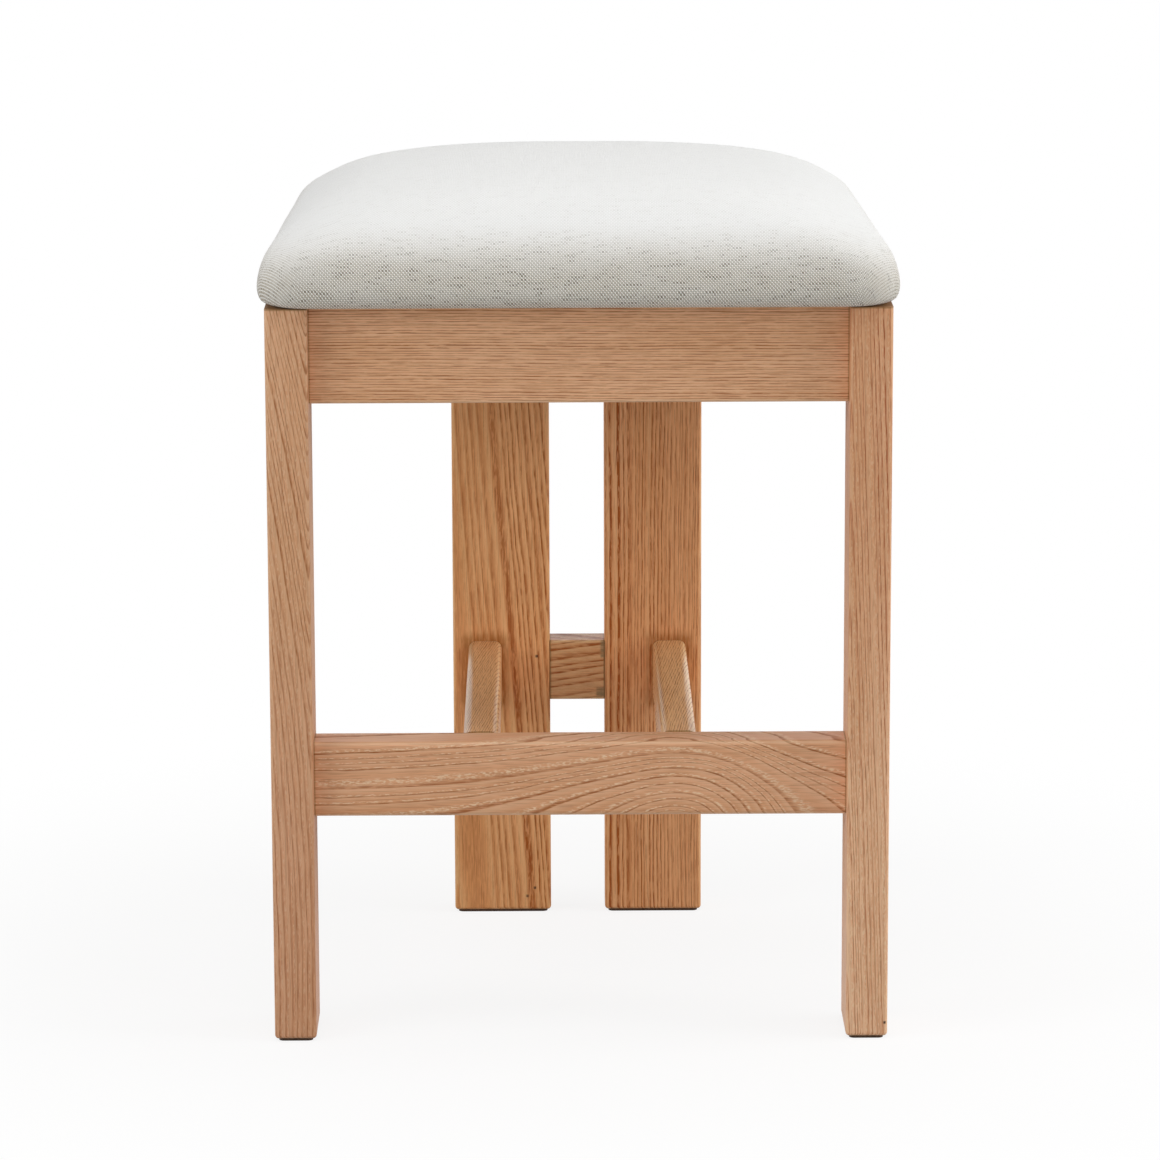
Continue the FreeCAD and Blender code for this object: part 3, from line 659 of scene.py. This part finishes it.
def cloth(name, colour, fibre_scale, pieces):
    """Pressed fibres with no weave, as in felt and dust cloth."""
    finish, shader, place = new_finish(name, Specular_IOR_Level=CLOTH_SHINE)
    fuzz = noise(place, (fibre_scale,) * 3, detail=4.0)
    mix(soft_step(fuzz, *CLOTH_EDGE), colour, shade(colour, CLOTH_LIGHT)).feed(shader, "Base Color")
    (fuzz * CLOTH_ROUGHNESS_CHANGE + CLOTH_ROUGHNESS).feed(shader, "Roughness")
    bumped(fuzz, shader, CLOTH_BUMP_STRENGTH, CLOTH_BUMP_DEPTH)
    wear(finish, pieces)


def starting(*words):
    """The pieces whose names start with one of these words."""
    return [node for node in nodes if node.startswith(words)]


def ending(word):
    """The pieces whose names end with this word."""
    return [node for node in nodes if node.endswith(word)]


plain_wood("pine_block", paint(214, 184, 140), paint(190, 154, 108), "X",
           starting("corner_block_front", "corner_block_back"))
plain_wood("beech_dowel", paint(205, 165, 122), paint(182, 138, 96), "Y", ending("_dowels"))
plain_wood("plywood_board", paint(206, 176, 132), paint(176, 140, 96), "X", ["seat_board"])
steel("zinc_screw", paint(190, 186, 170), ending("_screws"))
steel("staple_wire", paint(200, 202, 205), ["cover_staples"])
cloth("dark_felt", paint(84, 68, 58), 900.0, starting("front_foot_pad", "back_foot_pad"))
cloth("black_dust_cloth", paint(22, 22, 24), 1500.0, ["dust_cover"])
print("hidden pieces finished")

# %% [markdown]
# ## The padded seat
# The real seat is foam and wadding on a board, with a linen cover pulled down over it and stapled
# underneath. From the front it is a low pillow: widest just above the frame, drawn in as it rises and
# crowned on top, and a little narrower at its back than at its front. A bevelled block would be too stiff,
# so we first describe the swell: how wide the seat is at each height, and how round its corners are there.

# %% The form of the cushion
cover_low, cover_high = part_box("seat_cover")
WIDTH_LOST_IN_SMOOTHING = 0.0017
CROWN_BELOW_SOLID = 0.0075
SEAT_HALF_WIDTH = (cover_high[0] - cover_low[0]) / 2 + WIDTH_LOST_IN_SMOOTHING
SEAT_HALF_DEPTH = (cover_high[1] - cover_low[1]) / 2
SEAT_BOTTOM = cover_low[2]
CROWN_TOP = cover_high[2] - CROWN_BELOW_SOLID
HEM_ROLL = 0.012
SEAT_WIDEST = SEAT_BOTTOM + HEM_ROLL
SEAT_CORNER = 0.040
ROUNDEST_CORNER = 0.95
CORNER_POWER = 3.2
BACK_TAPER = 0.015
DRAW_IN = 0.765
CROWN = 0.57


def swell(turn_up):
    """Share of the full width, and height over the widest line, at one angle of the swell."""
    share = math.cos(turn_up) ** DRAW_IN
    height = (CROWN_TOP - SEAT_WIDEST) * math.sin(turn_up) ** CROWN
    return share, height


def corner_of(share):
    """The corner radius of one frame: small at the hem, and almost half the frame at the crown."""
    sharpest = SEAT_CORNER / SEAT_HALF_DEPTH
    return SEAT_HALF_DEPTH * share * (ROUNDEST_CORNER - (ROUNDEST_CORNER - sharpest) * share ** CORNER_POWER)


print("seat is", round(SEAT_HALF_WIDTH * 2, 3), "by", round(SEAT_HALF_DEPTH * 2, 3), "m")

# %% [markdown]
# ## The skin of the cushion
# We stack rounded frames that follow the hem and the swell, and bridge them into a closed skin. The skin is
# made a few millimetres too small, which leaves room for the stuffing.

# %% Stack the frames of the cushion
HEM_CORNER = 0.028
HEM_RINGS = 4
RINGS = 22
RING_SPREAD = 1.6
LAST_RING = math.radians(86)
SLACK = 0.003
CORNER_STEPS = 8
START_SIDE = 0.01


def add_frame(share, inset, height, corner):
    """One rounded frame of the stack, narrower at its back, left as a loop of edges."""
    half_width = SEAT_HALF_WIDTH * share - inset
    half_depth = SEAT_HALF_DEPTH * share - inset
    bpy.ops.mesh.select_all(action="DESELECT")
    bpy.ops.mesh.primitive_plane_add(size=2, location=(0, 0, height))
    bpy.ops.transform.resize(value=(half_width, half_depth, 1), center_override=(0, 0, height))
    corners = bmesh.from_edit_mesh(seat.data)
    for vertex in corners.verts:
        vertex.select_set(vertex.select and vertex.co.y > 0)
    corners.select_flush_mode()
    back_share = 1 - BACK_TAPER / SEAT_HALF_WIDTH
    bpy.ops.transform.resize(value=(back_share, 1, 1), center_override=(0, 0, height))
    bpy.ops.mesh.select_linked()
    bpy.ops.mesh.bevel(offset=corner, offset_type="OFFSET", segments=CORNER_STEPS, affect="VERTICES")
    bpy.ops.mesh.delete(type="ONLY_FACE")


bpy.ops.object.select_all(action="DESELECT")
bpy.ops.mesh.primitive_plane_add(size=START_SIDE, location=(0, 0, SEAT_BOTTOM))
seat = bpy.context.object
seat.name = "seat_cushion"
bpy.ops.object.transform_apply(location=True)
bpy.ops.object.mode_set(mode="EDIT")
bpy.ops.mesh.delete(type="VERT")
for step in range(HEM_RINGS):
    tuck = math.pi / 2 * (1 - step / HEM_RINGS)
    corner = HEM_CORNER + (SEAT_CORNER - HEM_CORNER) * step / HEM_RINGS
    add_frame(1.0, HEM_ROLL * (1 - math.cos(tuck)), SEAT_WIDEST - HEM_ROLL * math.sin(tuck), corner)
for step in range(RINGS):
    turn_up = LAST_RING * (step / (RINGS - 1)) ** RING_SPREAD
    share, height = swell(turn_up)
    slack = SLACK * math.sin(turn_up)
    add_frame(share, slack, SEAT_WIDEST + height - slack, corner_of(share) - slack)
bpy.ops.mesh.select_all(action="SELECT")
bpy.ops.mesh.bridge_edge_loops()
bpy.ops.mesh.select_all(action="SELECT")
bpy.ops.mesh.fill_holes(sides=0)
bpy.ops.mesh.select_all(action="SELECT")
bpy.ops.mesh.normals_make_consistent(inside=False)
bpy.ops.object.mode_set(mode="OBJECT")
print("cushion skin has", len(seat.data.polygons), "faces")

# %% [markdown]
# ## The stuffing
# A cover is tight because the foam pushes it out. Here a cloth simulation with pressure does that, on an
# even net of small squares. The hem is held still, as the staples hold it. The cloth can also buckle at
# the corners, where a real cover is pulled smooth, so no point moves far, and each point shares its move
# with its neighbours. What is left is a soft unevenness.

# %% Stuff it
VOXEL = 0.006
NET_ROUNDS = 6
SMOOTHING = 0.5
PRESSURE = 4.0
CLOTH_QUALITY = 6
SETTLE_FRAMES = 20
MOST_MOVE = 0.006
SHARING_ROUNDS = 30
HELD_ABOVE_HEM = 0.002
HELD_BELOW = SEAT_WIDEST + HELD_ABOVE_HEM


def smooth_skin(rounds):
    """Moves every point part of the way to the middle of its neighbours, some rounds."""
    even = seat.modifiers.new("even", "SMOOTH")
    even.factor = SMOOTHING
    even.iterations = rounds
    bpy.ops.object.modifier_apply(modifier=even.name)


def shared_with_neighbours(moves, still):
    """Every point's move averaged with those of the points beside it, with the still points left alone."""
    sums = [move.copy() for move in moves]
    shares = [1] * len(moves)
    for edge in seat.data.edges:
        one, other = edge.vertices
        sums[one] += moves[other]
        sums[other] += moves[one]
        shares[one] += 1
        shares[other] += 1
    shared = [total / count for total, count in zip(sums, shares)]
    for index in still:
        shared[index] = moves[index]
    return shared


seat.data.remesh_voxel_size = VOXEL
bpy.ops.object.voxel_remesh()
smooth_skin(NET_ROUNDS)

start = [vertex.co.copy() for vertex in seat.data.vertices]
stapled = [vertex.index for vertex in seat.data.vertices if vertex.co.z < HELD_BELOW]
held = seat.vertex_groups.new(name="stapled")
held.add(stapled, 1.0, "REPLACE")
stuffing = seat.modifiers.new("stuffing", "CLOTH")
stuffing.settings.use_pressure = True
stuffing.settings.uniform_pressure_force = PRESSURE
stuffing.settings.effector_weights.gravity = 0.0
stuffing.settings.vertex_group_mass = held.name
stuffing.settings.quality = CLOTH_QUALITY
for picture in range(1, SETTLE_FRAMES + 1):
    bpy.context.scene.frame_set(picture)
bpy.ops.object.modifier_apply(modifier=stuffing.name)
bpy.context.scene.frame_set(1)
moves = [vertex.co - rest for vertex, rest in zip(seat.data.vertices, start)]
moves = [move * (MOST_MOVE / max(move.length, MOST_MOVE)) for move in moves]
for sharing in range(SHARING_ROUNDS):
    moves = shared_with_neighbours(moves, stapled)
for vertex, rest, move in zip(seat.data.vertices, start, moves):
    vertex.co = rest + move
print("stuffing moved the cover by up to", round(max(move.length for move in moves) * 1000, 1), "mm")

# %% [markdown]
# ## The finished skin
# The seat lies flat on its frame, so nothing hangs below its bottom. A last smoothing and one round of
# subdivision take away the squares of the net.

# %% Finish the cushion's skin
SKIN_ROUNDS = 4
SKIN_LEVELS = 1

for vertex in seat.data.vertices:
    vertex.co.z = max(vertex.co.z, SEAT_BOTTOM)
smooth_skin(SKIN_ROUNDS)
round_off = seat.modifiers.new("round_off", "SUBSURF")
round_off.levels = SKIN_LEVELS
round_off.render_levels = SKIN_LEVELS
bpy.ops.object.modifier_apply(modifier=round_off.name)
bpy.ops.object.shade_smooth()
skin_low = [min(vertex.co[k] for vertex in seat.data.vertices) for k in range(3)]
skin_high = [max(vertex.co[k] for vertex in seat.data.vertices) for k in range(3)]
print("cushion", [round(v, 4) for v in (*skin_low, *skin_high)], len(seat.data.polygons), "faces")

# %% [markdown]
# ## The run of the threads
# The cover is one flat cloth, so its threads run straight over the top and straight down each side. To
# draw the weave we need each point's place on that flat cloth. Over the top this is almost x and y. Down a
# side it is the length of the slope, which we add up along the swell, and at a corner the two sides
# share what is left over, so the threads slant there as they do on the real seat.

# %% Add up the slopes
SLOPE_STEPS = 200

drops = [0.0]
slope_x = [0.0]
slope_y = [0.0]
before = swell(math.pi / 2)
for step in range(1, SLOPE_STEPS + 1):
    now = swell(math.pi / 2 * (1 - step / SLOPE_STEPS))
    fall = before[1] - now[1]
    drops.append(CROWN_TOP - SEAT_WIDEST - now[1])
    slope_x.append(slope_x[-1] + math.hypot((now[0] - before[0]) * SEAT_HALF_WIDTH, fall))
    slope_y.append(slope_y[-1] + math.hypot((now[0] - before[0]) * SEAT_HALF_DEPTH, fall))
    before = now
print("slopes from crown to widest line", round(slope_x[-1], 3), "and", round(slope_y[-1], 3), "m")

# %% [markdown]
# ## The flat cloth
# A side's surplus is how much longer its slope is than its plan. Each point of the skin is pushed outwards
# by the surplus at its height, and the result is kept in a UV map, where one unit is one metre.

# %% Unroll the cover
TINY = 1e-4


def share_at(drop):
    """Share of the full width, at one drop below the crown."""
    rise = 1 - min(drop / drops[-1], 1.0)
    return (1 - rise ** (2 / CROWN)) ** (DRAW_IN / 2)


def surplus(lengths, half, drop):
    """How much longer the slope is than its plan, at one drop below the crown."""
    if drop >= drops[-1]:
        tuck = math.asin(min((drop - drops[-1]) / HEM_ROLL, 1.0))
        return lengths[-1] - half + HEM_ROLL * (tuck + 1 - math.cos(tuck))
    step = next(k for k in range(1, SLOPE_STEPS + 1) if drops[k] >= drop)
    part = (drop - drops[step - 1]) / (drops[step] - drops[step - 1])
    return lengths[step - 1] + part * (lengths[step] - lengths[step - 1]) - half * share_at(drop)


def on_the_cloth(point):
    """A point's place on the flat cloth, in metres."""
    drop = max(CROWN_TOP - point.z, 0.0)
    share = share_at(drop)
    straight = SEAT_HALF_DEPTH * share - corner_of(share)
    narrowing = BACK_TAPER * (point.y / SEAT_HALF_DEPTH + share) / 2
    beside = max(abs(point.x) - (SEAT_HALF_WIDTH * share - corner_of(share) - narrowing), TINY)
    ahead = max(abs(point.y) - straight, TINY)
    sideways = beside ** 2 / (beside ** 2 + ahead ** 2)
    extra_x = surplus(slope_x, SEAT_HALF_WIDTH, drop) * sideways
    extra_y = surplus(slope_y, SEAT_HALF_DEPTH, drop) * (1 - sideways)
    return (point.x + math.copysign(extra_x, point.x), point.y + math.copysign(extra_y, point.y))


flat = [on_the_cloth(vertex.co) for vertex in seat.data.vertices]
threads = seat.data.uv_layers.new(name="threads")
for loop in seat.data.loops:
    threads.data[loop.index].uv = flat[loop.vertex_index]
print("cloth is", round(max(u for u, v in flat) * 2, 3), "by", round(max(v for u, v in flat) * 2, 3), "m")

# %% [markdown]
# ## Linen
# The cover is a coarse plain weave: each thread goes over one and under the next. Along and across the
# cloth we count threads. Whether the sum is even or odd says which of the two lies on top, and a rounded
# profile makes the thread, leaning a little as twisted yarn does. Modelled threads would need millions of
# faces, so the weave is a height and a colour in the finish.

# %% Weave the cover
WARP_PITCH = 0.00128
WEFT_PITCH = 0.00161
YARN_TWIST = 0.3
YARN_ROUNDNESS = 0.6
YARN_DIP = 0.5
SWAY_CLOUDS = (60.0, 60.0, 0.0)
SWAY_SIZE = WARP_PITCH * 0.9

linen, shader, place = new_finish("linen_cover", Specular_IOR_Level=0.2, Sheen_Weight=0.15,
                                  Sheen_Roughness=0.45)
cloth_place = place.node("ShaderNodeUVMap", {"uv_map": "threads"})
sway = noise(cloth_place, SWAY_CLOUDS, detail=2.0, take="Color")
sway = sway.node("ShaderNodeVectorMath", {"operation": "MULTIPLY_ADD"},
                 {0: sway, 1: (SWAY_SIZE,) * 3, 2: cloth_place})
count = sway.node("ShaderNodeVectorMath", {"operation": "MULTIPLY"},
                  {0: sway, 1: (1 / WARP_PITCH, 1 / WEFT_PITCH, 0.0)})
parts = count.node("ShaderNodeSeparateXYZ", {}, {0: count})
warp, weft = parts.out("X"), parts.out("Y")
warp_number, weft_number = warp.math("FLOOR"), weft.math("FLOOR")
warp_part, weft_part = warp.math("FRACT"), weft.math("FRACT")


def yarn_profile(over, along):
    """The round back of one thread, which leans a little along its run."""
    return ((over + (along - 0.5) * YARN_TWIST) * math.pi).math("SINE").math("MAXIMUM", 0.0)


def yarn_height(own, other):
    """A thread's height: round by itself, and lower where it dips under the other one."""
    return (own ** YARN_ROUNDNESS) * (other * (1 - YARN_DIP) + YARN_DIP)


warp_on_top = (warp_number + weft_number).math("FLOORED_MODULO", 2.0)
warp_round = yarn_profile(warp_part, weft_part)
weft_round = yarn_profile(weft_part, warp_part)
weft_height = yarn_height(weft_round, warp_round)
height = warp_on_top * (yarn_height(warp_round, weft_round) - weft_height) + weft_height
print("linen threads", WARP_PITCH * 1000, "by", WEFT_PITCH * 1000, "mm apart")

# %% [markdown]
# ## The yarn's colours
# On the flat top the cloth is painted almost white, a painted light where the top lamp washes it out. Down
# the front and the sides it is pulled tight, and there the grey weft, the thick places of the uneven yarn
# and the dark gaps between the threads show. This greying is partly the pulled cloth and partly painted
# shade, and it starts lower near the left and right ends, which is a painted side light. Here and there a
# dark seed husk was spun in.

# %% Colour the yarn
# The pale yarns are the top of the cover, painted light; the cream and grey ones are the same yarn down the
# front and sides, partly greyer cloth and partly painted shade.
WARP_PALE = paint(245, 245, 244)
WEFT_PALE = paint(238, 238, 236)
WARP_CREAM = paint(250, 248, 241)
WEFT_GREY = paint(202, 192, 175)
YARN_SLUB = paint(142, 132, 116)
WEAVE_GAP = paint(86, 77, 62)
SEED = paint(92, 78, 60)
# Heights over which the cover turns from its painted-light top to its greyer front: partly pulled cloth,
# partly painted shade.
SHADED_AND_PULLED_FROM = SEAT_BOTTOM + 0.065
SHADED_AND_PULLED_TO = SEAT_BOTTOM + 0.022
SIDE_LIGHT_BAND = (0.17, 0.235)
SIDE_LIGHT_LIFT = 0.009
PATCHES = ((28.0, 55.0, 0.0), 3.0, 0.3, 0.7)
PATCH_DEPTH = 0.3
SLUB_EDGE = (0.53, 0.68)
SLUBS_ON_TOP = 0.1
SLUB_STEP = 7.3
SLUB_RUN = 0.11
GAP_EDGE = (0.55, 0.2)
GAPS_ON_TOP = 0.08
GAPS_SHADED_AND_PULLED = 0.85
SEEDS_PER_METRE = 9.0
SEED_SIZE = 0.0006
SEED_STRENGTH = 0.7
THREAD_SHINE = 0.12
WEAVE_BUMP_STRENGTH = 0.4
WEAVE_BUMP_DEPTH = 0.0005

level = place.node("ShaderNodeSeparateXYZ", {}, {0: place}, take="Z")
# A painted side light: near the left and right ends the painted shade on the cover starts lower, so the
# sides stay paler.
side_light = soft_step(level.out("X").math("ABSOLUTE"), *SIDE_LIGHT_BAND)
shaded_and_pulled = soft_step(level + side_light * SIDE_LIGHT_LIFT, SHADED_AND_PULLED_FROM, SHADED_AND_PULLED_TO)
patchy = speckle(cloth_place, *PATCHES) * PATCH_DEPTH + (1 - PATCH_DEPTH)
weft_colour = mix(shaded_and_pulled * patchy, WEFT_PALE, WEFT_GREY)
slub_place = warp.node("ShaderNodeCombineXYZ", {}, {0: weft_number * SLUB_STEP, 1: warp * SLUB_RUN})
slub = warp.node("ShaderNodeTexNoise", {}, {"Vector": slub_place, "Scale": 1.0, "Detail": 2.0})
slubs_shown = shaded_and_pulled * (1 - SLUBS_ON_TOP) + SLUBS_ON_TOP
weft_colour = mix(soft_step(slub, *SLUB_EDGE) * slubs_shown, weft_colour, YARN_SLUB)
yarn = mix(warp_on_top, weft_colour, mix(shaded_and_pulled, WARP_PALE, WARP_CREAM))
gap = soft_step(height, *GAP_EDGE) * (shaded_and_pulled * GAPS_SHADED_AND_PULLED + GAPS_ON_TOP)
cloth_colour = mix(gap, yarn, WEAVE_GAP)
seeds = cloth_place.node("ShaderNodeTexVoronoi", {}, {"Vector": cloth_place, "Scale": SEEDS_PER_METRE})
seed_reach = SEED_SIZE * SEEDS_PER_METRE
seed_spot = soft_step(seeds, seed_reach, seed_reach * 0.5)
mix(seed_spot * SEED_STRENGTH, cloth_colour, SEED).feed(shader, "Base Color")
(1 - height * THREAD_SHINE).feed(shader, "Roughness")
bumped(height, shader, WEAVE_BUMP_STRENGTH, WEAVE_BUMP_DEPTH)
seat.data.materials.clear()
seat.data.materials.append(linen)
# These heights bound the band where the cover greys, partly pulled cloth and partly painted shade.
print("linen is pulled from", round(SHADED_AND_PULLED_FROM, 3), "down to", round(SHADED_AND_PULLED_TO, 3), "m")

# %% [markdown]
# ## The cushion takes its place
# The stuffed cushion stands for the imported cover, wadding and foam, and moves with the stool's one body.

# %% Set the cushion on the frame
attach(seat, "root")
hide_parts("seat_cover", "seat_wadding", "seat_foam")
print("cushion set on the frame")
